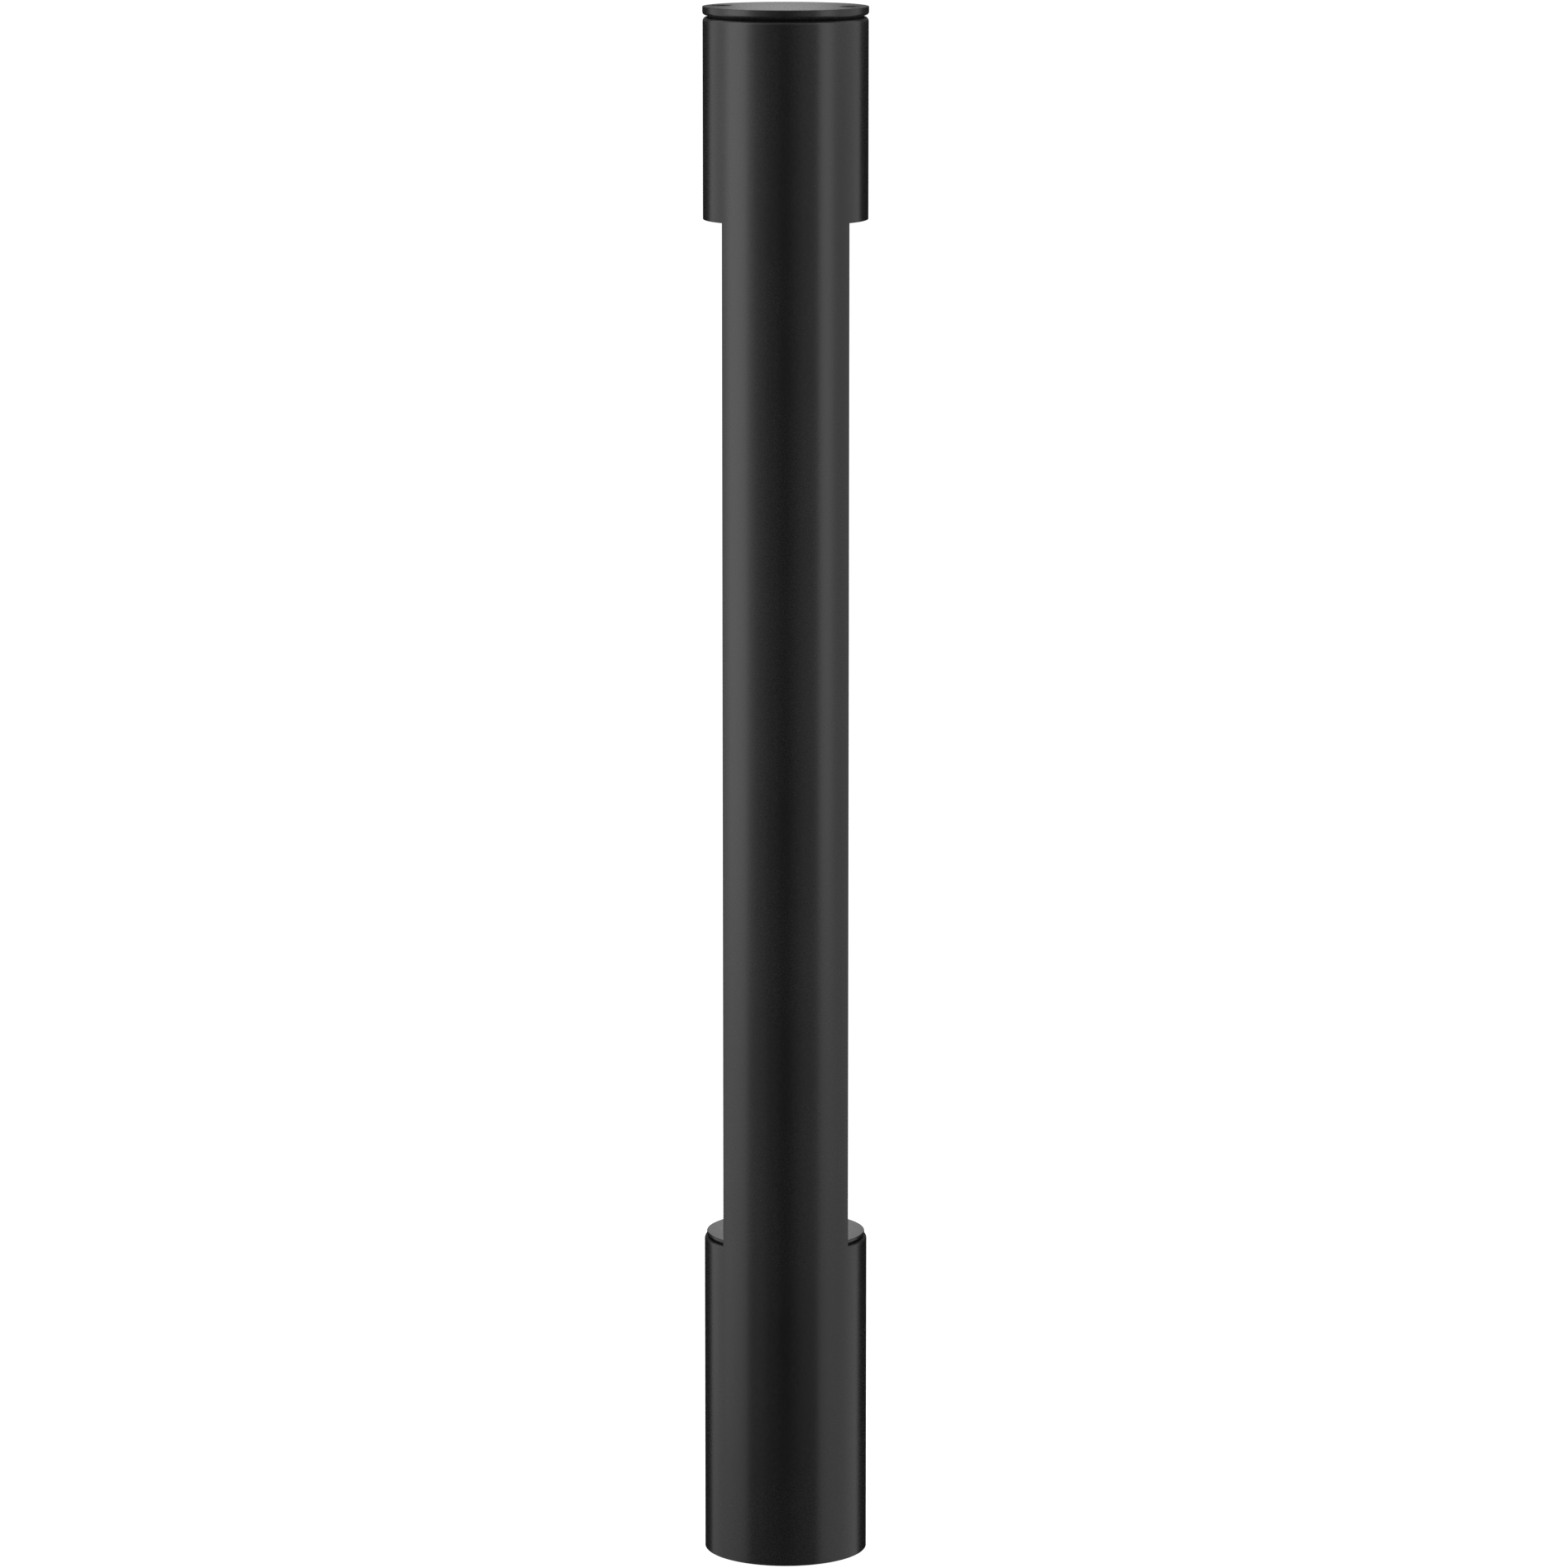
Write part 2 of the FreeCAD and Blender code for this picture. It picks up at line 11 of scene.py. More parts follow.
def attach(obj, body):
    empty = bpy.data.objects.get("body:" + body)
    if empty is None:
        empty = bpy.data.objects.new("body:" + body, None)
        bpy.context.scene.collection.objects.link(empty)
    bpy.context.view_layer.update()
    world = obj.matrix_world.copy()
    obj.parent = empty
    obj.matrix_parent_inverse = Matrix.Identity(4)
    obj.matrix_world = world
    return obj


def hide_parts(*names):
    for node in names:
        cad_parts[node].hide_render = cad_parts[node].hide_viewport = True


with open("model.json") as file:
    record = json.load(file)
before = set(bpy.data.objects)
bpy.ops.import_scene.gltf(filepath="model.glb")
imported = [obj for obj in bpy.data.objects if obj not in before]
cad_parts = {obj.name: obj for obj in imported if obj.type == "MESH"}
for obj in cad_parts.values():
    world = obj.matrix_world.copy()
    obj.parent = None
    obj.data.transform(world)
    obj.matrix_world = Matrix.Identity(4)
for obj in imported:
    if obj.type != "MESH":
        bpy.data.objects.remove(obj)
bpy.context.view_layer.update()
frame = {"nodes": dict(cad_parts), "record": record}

MM = 0.001

# ---- sizes the pieces share with the CAD parts ----
TUBE_R = 0.050
BORE_R = 0.047
STRIP_HALF_ANGLE = math.radians(50.0)
CUT_Y = -TUBE_R * math.cos(STRIP_HALF_ANGLE)
BORE_HALF_ANGLE = math.acos(-CUT_Y / BORE_R)
TUBE_BOTTOM = 0.0012
TUBE_TOP = 0.9488
BASE_RIM = 0.1992
HEAD_BOTTOM = 0.827
SHOULDER_ROUND = 0.0026
RIM_ROUND = 0.0020
EDGE_BREAK = 0.0004
GRUB_Z = 0.042
GRUB_R = 0.003
GRUB_DIRECTIONS = (20, 90, 160)

LID_LOW = 0.9498
LID_HIGH = 0.955
LID_R = 0.0502
LID_TOP_ROUND = 0.0003
LID_LOW_ROUND = 0.0020
LID_SKIRT_LOW = 0.9427
LID_SKIRT_R = 0.0465
LID_BAND_LOW = 0.9463
LID_BAND_IN_R = 0.0456
LID_BOSS_R = 0.006
LID_SCREWS = ((0.0385, -0.0061), (-0.0385, 0.0061))
LID_SCREW_SINK = 0.0012
LID_SINK_R = 0.0062

DISC_LOW = 0.2004
DISC_HIGH = 0.2022
DISC_R = 0.0486
DISC_SKIRT_R = 0.0466
DISC_BOTTOM = 0.1908
FRONT_TRIM_Y = -0.0298
DISC_SCREWS = ((0.030, 0.012), (-0.030, 0.012))

COVER_BACK_Y = CUT_Y + 0.002
COVER_HALF_W = 0.038
TONGUE_HALF_W = 0.0335
TONGUE_LOW = 0.190
TONGUE_HIGH = 0.836
COVER_SCREW_X = 0.024
COVER_SCREW_LEVELS = (0.232, 0.372, 0.512, 0.652, 0.795)
COVER_SCREWS = [(x, z) for z in COVER_SCREW_LEVELS for x in (-COVER_SCREW_X, COVER_SCREW_X)]

LAMP_Y = 0.005
SOFFIT_LOW = 0.829
SOFFIT_HIGH = 0.832
SOFFIT_R = 0.0467
APERTURE_R = 0.029
SOFFIT_SCREWS = ((0.038, -0.012), (-0.038, -0.012), (0.0, 0.042))

# ---- screws and edges ----
SCREW_RELIEF = 0.12 * MM
HEAD_RECESS = 0.15 * MM
HOLE_DEPTH = 0.016
SOFT_EDGE = 0.15 * MM
SOFFIT_SOFT_EDGE = 0.2 * MM
COVER_CORNER = 0.0008
COVER_END_GAP = 0.0003
DISC_PLATE_LOW = DISC_LOW - 0.0015
SKIRT_WALL = 0.003
HUB_R = 0.004
CORNER_ANGLE = math.radians(50)

# ---- how finely round things are divided ----
TUBE_STEP = math.radians(1.25)
LEVEL_SPACING = 0.012
COVER_LEVEL_SPACING = 0.02
LATHE_SIDES = 192
BOSS_SIDES = 64
SCREW_SIDES = 48
ROUND_STEPS = 6
SHARP_ANGLE = math.radians(32)

# ---- camera, from the photograph's viewing angle ----
CAMERA_DISTANCE = 4.233
CAMERA_HEIGHT = 1.177
CAMERA_TILT = math.radians(9.334)
CAMERA_LENS = 160.97
CAMERA_SIDE = -0.001

# ---- studio panels round the post: from and to degrees, bottom and top height, radiance ----
# 0 degrees is in front and 90 on the right. They reach below the floor, which lets their light
# through, so that the post's low end is lit like its top.
PANEL_DISTANCE = 2.2
PANELS = {
    "left_low": (-130, -55, -1.2, -0.5, 0.56),
    "left_wide": (-130, -55, -0.5, 3.0, 0.86),
    "left_key": (-95, -55, -0.5, 3.0, 0.38),
    "left_core": (-87.5, -53, 0.0, 3.0, 0.89),
    "left_edge": (-53, -43, 0.0, 3.0, 0.45),
    "left_fill": (-55, -27.5, -0.5, 3.0, 0.40),
    "left_fade": (-27.5, -10, -0.5, 3.0, 0.16),
    "right_wide": (47.5, 125, -1.2, 3.0, 0.79),
    "right_key": (47.5, 75, -0.5, 3.0, 0.15),
    "right_core": (47.5, 67.5, 0.0, 3.0, 0.80),
    "right_fill": (20, 47.5, -0.5, 3.0, 0.36),
    "right_fade": (8, 20, -0.5, 3.0, 0.18),
    "front_high": (-55, 55, 1.9, 4.5, 0.35),
    "back_for_lid": (178.7, 181.3, 1.0, 1.9, 0.65),
    "back_for_disc": (177.4, 182.6, 0.35, 0.95, 0.85),
}

# ---- fill lights: panels all round for the pieces that face the window, a ceiling for the flat tops ----
WINDOW_PANELS = {
    "behind_left": (170, 262, -1.2, 3.0, 0.75),
    "behind_right": (98, 170, -1.2, 3.0, 0.45),
    "front_left": (-84, 12, -1.2, 3.0, 0.75),
    "front_right": (12, 84, -1.2, 3.0, 0.45),
}
CEILING_HEIGHT = 3.4
CEILING_SIZE = 4.0
CEILING_RADIANCE = 1.1

# ---- stage: both lie within the 48 m that the cameras of the other views reach ----
FLOOR_R = 42.0
DOME_R = 40.0


# ---------------------------------------------------------------- mesh helpers
def link(name, mesh):
    piece = bpy.data.objects.new(name, mesh)
    bpy.context.scene.collection.objects.link(piece)
    return piece


def smooth_with_sharp_edges(bm):
    """Smooth faces, with the edges that turn by more than a small angle kept sharp."""
    for face in bm.faces:
        face.smooth = True
    for edge in bm.edges:
        edge.smooth = len(edge.link_faces) == 2 and edge.calc_face_angle(0.0) < SHARP_ANGLE


def mesh_from(bm, name):
    bmesh.ops.recalc_face_normals(bm, faces=bm.faces)
    smooth_with_sharp_edges(bm)
    mesh = bpy.data.meshes.new(name)
    bm.to_mesh(mesh)
    bm.free()
    return mesh


def arc(centre, radius, start, end, steps=ROUND_STEPS):
    """Points of an arc in the (radius, height) plane, ends included, angles in degrees."""
    points = []
    for i in range(steps + 1):
        turn = math.radians(start + (end - start) * i / steps)
        points.append((centre[0] + radius * math.cos(turn), centre[1] + radius * math.sin(turn)))
    return points


def hexagon_radius(across_flats, turn):
    """Distance from a hexagon's centre to its side in one direction."""
    return across_flats / 2 / math.cos((turn % (math.pi / 3)) - math.pi / 6)


def around(centre, radius, turn, height):
    """A point at a distance and an angle from an upright axis."""
    return (centre[0] + radius * math.cos(turn), centre[1] + radius * math.sin(turn), height)


def turned(name, rings, sides, centre=(0.0, 0.0)):
    """A closed solid from a stack of rings (radius, height); a third item "hex" makes a hexagon."""
    bm = bmesh.new()
    loops = []
    for item in rings:
        radius, height = item[0], item[1]
        loop = []
        for i in range(sides):
            turn = 2 * math.pi * i / sides
            reach = hexagon_radius(radius, turn) if len(item) > 2 else radius
            loop.append(bm.verts.new(around(centre, reach, turn, height)))
        loops.append(loop)
    for low, high in zip(loops, loops[1:]):
        for i in range(sides):
            j = (i + 1) % sides
            bm.faces.new((low[i], low[j], high[j], high[i]))
    bm.faces.new(loops[0])
    bm.faces.new(loops[-1])
    return link(name, mesh_from(bm, name))


def ring_solid(name, profile, sides, centre=(0.0, 0.0)):
    """A solid of revolution whose profile is a closed loop that stays off the axis."""
    bm = bmesh.new()
    loops = []
    for i in range(sides):
        turn = 2 * math.pi * i / sides
        loop = []
        for radius, height in profile:
            loop.append(bm.verts.new(around(centre, radius, turn, height)))
        loops.append(loop)
    count = len(profile)
    for i in range(sides):
        here, there = loops[i], loops[(i + 1) % sides]
        for k in range(count):
            m = (k + 1) % count
            bm.faces.new((here[k], here[m], there[m], there[k]))
    return link(name, mesh_from(bm, name))


def block(name, low, high):
    bm = bmesh.new()
    bmesh.ops.create_cube(bm, size=1.0)
    size = Vector(high) - Vector(low)
    middle = (Vector(high) + Vector(low)) / 2
    for vert in bm.verts:
        vert.co = Vector((vert.co.x * size.x, vert.co.y * size.y, vert.co.z * size.z)) + middle
    return link(name, mesh_from(bm, name))


def aim(piece, place, direction):
    """Turn a piece made along +Z from the origin to a place and a direction, in its vertices."""
    turn = Vector((0, 0, 1)).rotation_difference(Vector(direction)).to_matrix().to_4x4()
    piece.data.transform(Matrix.Translation(place) @ turn)
    return piece


def carve(piece, cutters, operation="DIFFERENCE"):
    """Cut the cutters out of a piece for good (or add them to it), and remove them."""
    for cutter in cutters:
        modifier = piece.modifiers.new("cut", "BOOLEAN")
        modifier.operation = operation
        modifier.solver = "EXACT"
        modifier.object = cutter
    bake(piece)
    for cutter in cutters:
        mesh = cutter.data
        bpy.data.objects.remove(cutter)
        bpy.data.meshes.remove(mesh)
    return piece


def bake(piece):
    """Make a piece's modifiers part of its mesh, and set its sharp edges anew."""
    bpy.context.view_layer.update()
    graph = bpy.context.evaluated_depsgraph_get()
    mesh = bpy.data.meshes.new_from_object(piece.evaluated_get(graph))
    piece.modifiers.clear()
    old = piece.data
    piece.data = mesh
    bpy.data.meshes.remove(old)
    bm = bmesh.new()
    bm.from_mesh(mesh)
    bmesh.ops.dissolve_degenerate(bm, dist=1e-6, edges=bm.edges)
    smooth_with_sharp_edges(bm)
    bm.to_mesh(mesh)
    bm.free()


def soften(piece, width, segments=3, angle=math.radians(40)):
    """Break a piece's sharp edges, with normals that keep its flat faces flat."""
    modifier = piece.modifiers.new("edge_break", "BEVEL")
    modifier.width = width
    modifier.segments = segments
    modifier.limit_method = "ANGLE"
    modifier.angle_limit = angle
    modifier.harden_normals = False
    modifier.use_clamp_overlap = True
    weighted = piece.modifiers.new("weighted_normals", "WEIGHTED_NORMAL")
    weighted.keep_sharp = True
    return piece


def join(name, pieces):
    """Several meshes as one piece."""
    bm = bmesh.new()
    for piece in pieces:
        bm.from_mesh(piece.data)
    for piece in pieces:
        mesh = piece.data
        bpy.data.objects.remove(piece)
        bpy.data.meshes.remove(mesh)
    return link(name, mesh_from(bm, name))


def countersink(place, direction, thread_r, sink=0.0, sink_r=0.0):
    """The cutter for a countersunk hole, under a straight well where there is a sink."""
    head_r = 2 * thread_r + SCREW_RELIEF
    hole_r = thread_r + SCREW_RELIEF
    rings = [(sink_r, -0.002), (sink_r, sink)] if sink else [(head_r, -0.002)]
    rings.append((head_r, sink + HEAD_RECESS))
    rings.append((hole_r, sink + thread_r + HEAD_RECESS))
    rings.append((hole_r, sink + HOLE_DEPTH))
    return aim(turned("cutter", rings, SCREW_SIDES), place, direction)


def socket_screw(place, direction, thread_r, length, sink=0.2 * MM):
    """A countersunk screw with a hexagon socket, its head set a little below the surface."""
    head_r = 2 * thread_r
    flats = 1.3 * thread_r
    depth = 0.75 * thread_r
    rings = [
        (0.35 * flats, sink + depth + 0.25 * thread_r),
        (flats, sink + depth, "hex"),
        (flats, sink + 0.12 * thread_r, "hex"),
        (1.08 * flats, sink, "hex"),
        (head_r - 0.08 * thread_r, sink),
        (head_r, sink + 0.08 * thread_r),
        (thread_r, sink + thread_r),
        (thread_r, length - 0.15 * thread_r),
        (0.85 * thread_r, length),
    ]
    return aim(turned("screw", rings, SCREW_SIDES), place, direction)


# ---------------------------------------------------------------- the tube
def tube_point(column, through, z, columns):
    """A point of the wall: through is 0 on the outside and 1 in the bore.

    The columns at the strip's two edges lie in the flat plane the wall is cut along, so the
    bore's columns are spread a little differently from the outside's.
    """
    outer = -STRIP_HALF_ANGLE + column * 2 * math.pi / columns
    if outer <= STRIP_HALF_ANGLE + 1e-9:
        inner = outer * BORE_HALF_ANGLE / STRIP_HALF_ANGLE
    else:
        rest = (outer - STRIP_HALF_ANGLE) / (2 * math.pi - 2 * STRIP_HALF_ANGLE)
        inner = BORE_HALF_ANGLE + rest * (2 * math.pi - 2 * BORE_HALF_ANGLE)
    a = Vector((TUBE_R * math.sin(outer), -TUBE_R * math.cos(outer), z))
    b = Vector((BORE_R * math.sin(inner), -BORE_R * math.cos(inner), z))
    return a.lerp(b, through)


def wall_edge(outer_round, inner_round, z, up):
    """The rounded end of the wall from its outside to its bore, as (through, z) points."""
    wall = TUBE_R - BORE_R
    way = 1 if up else -1
    points = []
    for radius, height in arc((-outer_round, 0.0), outer_round, 0, 90):
        points.append((-radius / wall, z + way * (height - outer_round)))
    for radius, height in arc((-wall + inner_round, 0.0), inner_round, 90, 180, 3):
        points.append((-radius / wall, z + way * (height - inner_round)))
    return points


def levels(low, high, spacing):
    count = max(1, round((high - low) / spacing))
    return [low + (high - low) * i / count for i in range(count + 1)]


def post_tube():
    """The tube: a full ring at the base and at the head, and the front strip between them."""
    columns = round(2 * math.pi / TUBE_STEP)
    strip_columns = round(2 * STRIP_HALF_ANGLE / TUBE_STEP)
    foot = wall_edge(EDGE_BREAK, EDGE_BREAK, TUBE_BOTTOM, False)[::-1]
    rim = wall_edge(RIM_ROUND, EDGE_BREAK, BASE_RIM, True)
    lip = wall_edge(EDGE_BREAK, EDGE_BREAK, HEAD_BOTTOM, False)[::-1]
    shoulder = wall_edge(SHOULDER_ROUND, 0.7 * EDGE_BREAK, TUBE_TOP, True)

    def rise(start, end):
        return [(0.0, z) for z in levels(start[1], end[1], LEVEL_SPACING)[1:-1]]

    def fall(start, end):
        return [(1.0, z) for z in levels(end[1], start[1], LEVEL_SPACING)[1:-1]][::-1]

    window = levels(BASE_RIM, HEAD_BOTTOM, LEVEL_SPACING)[1:-1]
    window_out = [(0.0, z) for z in window]
    window_in = [(1.0, z) for z in window][::-1]
    base_out, base_in = rise(foot[-1], rim[0]), fall(rim[-1], foot[0])
    head_out, head_in = rise(lip[-1], shoulder[0]), fall(shoulder[-1], lip[0])
    base_loop = foot + base_out + rim + base_in
    head_loop = lip + head_out + shoulder + head_in
    strip_loop = (
        foot + base_out + rim[:1] + window_out + lip[-1:] + head_out + shoulder + head_in
        + lip[:1] + window_in + rim[-1:] + base_in
    )

    bm = bmesh.new()
    made = {}

    def vert(column, point):
        key = (column % columns, round(point[0], 6), round(point[1], 7))
        if key not in made:
            made[key] = bm.verts.new(tube_point(column % columns, point[0], point[1], columns))
        return made[key]

    for column in range(columns):
        loops = [strip_loop] if column < strip_columns else [base_loop, head_loop]
        for loop in loops:
            for k, point in enumerate(loop):
                following = loop[(k + 1) % len(loop)]
                corners = (
                    vert(column, point), vert(column, following),
                    vert(column + 1, following), vert(column + 1, point),
                )
                bm.faces.new(corners)
    for column in (0, strip_columns):
        for low, high in zip(window, window[1:]):
            side = ((0.0, low), (1.0, low), (1.0, high), (0.0, high))
            bm.faces.new([vert(column, point) for point in side])
        rim_end = [(0.0, window[0])] + rim + [(1.0, window[0])]
        lip_end = [(1.0, window[-1])] + lip + [(0.0, window[-1])]
        for loop in (rim_end, lip_end):
            bm.faces.new([vert(column, point) for point in loop])
    piece = link("post_tube_body", mesh_from(bm, "post_tube_body"))

    holes = []
    for degrees in GRUB_DIRECTIONS:
        turn = math.radians(degrees)
        way = Vector((math.cos(turn), math.sin(turn), 0))
        rings = [(GRUB_R, -0.004), (GRUB_R, 0.0024), (GRUB_R + 0.0008, 0.0034), (GRUB_R + 0.0008, 0.006)]
        holes.append(aim(turned("cutter", rings, SCREW_SIDES), way * BORE_R + Vector((0, 0, GRUB_Z)), way))
    carve(piece, holes)
    soften(piece, EDGE_BREAK * 0.8, 2)
    return piece


# ---------------------------------------------------------------- lid, discs, covers
def top_lid():
    top = arc((LID_R - LID_TOP_ROUND, LID_HIGH - LID_TOP_ROUND), LID_TOP_ROUND, 0, 90, 4)
    under = arc((LID_R - LID_LOW_ROUND, LID_LOW + LID_LOW_ROUND), LID_LOW_ROUND, -90, 0)
    skirt_in = LID_SKIRT_R - SKIRT_WALL
    rings = [(HUB_R, LID_LOW), (skirt_in, LID_LOW), (skirt_in, LID_SKIRT_LOW), (LID_SKIRT_R, LID_SKIRT_LOW)]
    rings += [(LID_SKIRT_R, LID_BAND_LOW), (LID_BAND_IN_R, LID_BAND_LOW), (LID_BAND_IN_R, LID_LOW)]
    rings += under + top + [(0.035, LID_HIGH), (HUB_R, LID_HIGH)]
    lid = turned("top_lid_body", rings, LATHE_SIDES)
    bosses = []
    holes = []
    for place in LID_SCREWS:
        boss = [(LID_BOSS_R, LID_SKIRT_LOW), (LID_BOSS_R, LID_LOW + 0.0005)]
        bosses.append(turned("boss", boss, BOSS_SIDES, place))
        mouth = Vector((*place, LID_HIGH))
        holes.append(countersink(mouth, (0, 0, -1), 0.003, sink=LID_SCREW_SINK, sink_r=LID_SINK_R))
    carve(lid, bosses, "UNION")
    carve(lid, holes)
    return soften(lid, SOFT_EDGE, 2, CORNER_ANGLE)


def base_disc():
    top = arc((DISC_R - EDGE_BREAK, DISC_HIGH - EDGE_BREAK), EDGE_BREAK, 0, 90, 4)
    skirt_in = DISC_SKIRT_R - SKIRT_WALL
    rings = [(HUB_R, DISC_PLATE_LOW), (skirt_in, DISC_PLATE_LOW), (skirt_in, DISC_BOTTOM)]
    rings += [(DISC_SKIRT_R, DISC_BOTTOM), (DISC_SKIRT_R, DISC_LOW)]
    rings += [(DISC_R - 0.0002, DISC_LOW), (DISC_R, DISC_LOW + 0.0002)]
    rings += top + [(0.034, DISC_HIGH), (HUB_R, DISC_HIGH)]
    disc = turned("base_disc_body", rings, LATHE_SIDES)
    front = block("cutter", (-0.1, -0.1, 0.1), (0.1, FRONT_TRIM_Y, 0.3))
    holes = [countersink(Vector((x, y, DISC_HIGH)), (0, 0, -1), 0.002) for x, y in DISC_SCREWS]
    carve(disc, [front] + holes)
    return soften(disc, SOFT_EDGE, 2, CORNER_ANGLE)


def rounded_bar(name, half_w, low, high, front, back, round_r):
    """A flat bar along +Z whose two back corners are rounded."""
    corner = arc((half_w - round_r, back - round_r), round_r, 0, 90)
    outline = [(-half_w, front), (half_w, front)] + corner + [(-x, y) for x, y in corner[::-1]]
    bm = bmesh.new()
    rows = []
    for z in levels(low, high, COVER_LEVEL_SPACING):
        rows.append([bm.verts.new((x, y, z)) for x, y in outline])
    count = len(outline)
    for lower, upper in zip(rows, rows[1:]):
        for i in range(count):
            j = (i + 1) % count
            bm.faces.new((lower[i], lower[j], upper[j], upper[i]))
    bm.faces.new(rows[0][::-1])
    bm.faces.new(rows[-1])
    return link(name, mesh_from(bm, name))


def duct_cover():
    plate_low = BASE_RIM + COVER_END_GAP
    plate_high = HEAD_BOTTOM - COVER_END_GAP
    plate = rounded_bar(
        "duct_cover_body", COVER_HALF_W, plate_low, plate_high, CUT_Y, COVER_BACK_Y, COVER_CORNER,
    )
    holes = [countersink(Vector((x, COVER_BACK_Y, z)), (0, -1, 0), 0.0015) for x, z in COVER_SCREWS]
    carve(plate, holes)
    soften(plate, SOFT_EDGE, 2, CORNER_ANGLE)
    spans = {"duct_tongue_low": (TONGUE_LOW, plate_low), "duct_tongue_high": (plate_high, TONGUE_HIGH)}
    tongues = []
    for name, (low, high) in spans.items():
        tongues.append(block(name, (-TONGUE_HALF_W, CUT_Y, low), (TONGUE_HALF_W, COVER_BACK_Y, high)))
    return plate, tongues


def soffit_ring():
    profile = [
        (APERTURE_R + 0.0020, SOFFIT_LOW), (APERTURE_R, SOFFIT_LOW + 0.0020), (APERTURE_R, SOFFIT_HIGH),
        (0.075, SOFFIT_HIGH), (0.075, SOFFIT_LOW),
    ]
    plate = ring_solid("soffit_ring_body", profile, LATHE_SIDES, (0.0, LAMP_Y))
    below, above = SOFFIT_LOW - 0.01, SOFFIT_HIGH + 0.01
    beyond = [(SOFFIT_R, below), (SOFFIT_R, above), (0.12, above), (0.12, below)]
    outside = ring_solid("cutter", beyond, LATHE_SIDES)
    front = block("cutter", (-0.1, -0.1, 0.8), (0.1, FRONT_TRIM_Y, 0.85))
    holes = [countersink(Vector((x, y, SOFFIT_LOW)), (0, 0, 1), 0.002) for x, y in SOFFIT_SCREWS]
    carve(plate, [outside, front] + holes)
    return soften(plate, SOFFIT_SOFT_EDGE, 2, CORNER_ANGLE)


def screws(name, places, direction, thread_r, length):
    return join(name, [socket_screw(Vector(place), direction, thread_r, length) for place in places])


def grub_screws():
    made = []
    for degrees in GRUB_DIRECTIONS:
        turn = math.radians(degrees)
        way = Vector((math.cos(turn), math.sin(turn), 0))
        flats = 0.003
        rings = [
            (0.0006, 0.0026), (flats, 0.0022, "hex"), (flats, 0.0002, "hex"), (1.1 * flats, 0.0, "hex"),
            (GRUB_R - 0.0004, 0.0), (GRUB_R, 0.0004), (GRUB_R, 0.0039), (GRUB_R - 0.0004, 0.0042),
        ]
        screw = turned("screw", rings, SCREW_SIDES)
        made.append(aim(screw, way * (TUBE_R - 0.0006) + Vector((0, 0, GRUB_Z)), -way))
    return join("grub_screws_body", made)


# ---------------------------------------------------------------- materials
class Nodes:
    """A small helper that builds one procedural material around a Principled shader."""

    def __init__(self, name):
        self.material = bpy.data.materials.new(name)
        self.material.use_nodes = True
        self.tree = self.material.node_tree
        self.shader = self.tree.nodes["Principled BSDF"]
        self.place = self.tree.nodes.new("ShaderNodeTexCoord").outputs["Object"]

    def put(self, **values):
        """Set numbers and colours on the shader's own sockets."""
        for key, value in values.items():
            socket = self.shader.inputs[key.replace("_", " ").title().replace("Ior", "IOR")]
            socket.default_value = value

    def wire(self, source, socket):
        self.tree.links.new(source, self.shader.inputs[socket])

    def stretch(self, x, y, z):
        node = self.tree.nodes.new("ShaderNodeMapping")
        node.inputs["Scale"].default_value = (x, y, z)
        self.tree.links.new(self.place, node.inputs["Vector"])
        return node.outputs["Vector"]

    def noise(self, scale, detail=2.0, roughness=0.5, at=None):
        node = self.tree.nodes.new("ShaderNodeTexNoise")
        node.inputs["Scale"].default_value = scale
        node.inputs["Detail"].default_value = detail
        node.inputs["Roughness"].default_value = roughness
        self.tree.links.new(at or self.place, node.inputs["Vector"])
        return node.outputs["Fac"]

    def cells(self, scale, feature="F1", at=None):
        node = self.tree.nodes.new("ShaderNodeTexVoronoi")
        node.feature = feature
        node.inputs["Scale"].default_value = scale
        self.tree.links.new(at or self.place, node.inputs["Vector"])
        return node.outputs["Distance"]

    def span(self, source, low, high, start=0.3, end=0.7):
        """Map a texture's value to a number from low to high."""
        node = self.tree.nodes.new("ShaderNodeMapRange")
        node.inputs["From Min"].default_value = start
        node.inputs["From Max"].default_value = end
        node.inputs["To Min"].default_value = low
        node.inputs["To Max"].default_value = high
        self.tree.links.new(source, node.inputs["Value"])
        return node.outputs["Result"]

    def ramp(self, source, stops):
        """Map a texture's value to a colour; the stops are (position, colour)."""
        node = self.tree.nodes.new("ShaderNodeValToRGB")
        for i, (position, colour) in enumerate(stops):
            stop = node.color_ramp.elements[i] if i < 2 else node.color_ramp.elements.new(position)
            stop.position = position
            stop.color = (*colour, 1.0)
        self.tree.links.new(source, node.inputs["Fac"])
        return node.outputs["Color"]

    def mix(self, first, second, share):
        """Two texture values as one: share of the second."""
        node = self.tree.nodes.new("ShaderNodeMix")
        node.inputs["Factor"].default_value = share
        self.tree.links.new(first, node.inputs["A"])
        self.tree.links.new(second, node.inputs["B"])
        return node.outputs["Result"]

    def bump(self, source, height, strength=1.0, under=None):
        node = self.tree.nodes.new("ShaderNodeBump")
        node.inputs["Strength"].default_value = strength
        node.inputs["Distance"].default_value = height
        self.tree.links.new(source, node.inputs["Height"])
        if under is not None:
            self.tree.links.new(under, node.inputs["Normal"])
        return node.outputs["Normal"]


def grey(value, warm=0.0):
    return (value * (1 + warm), value, value * (1 - warm))


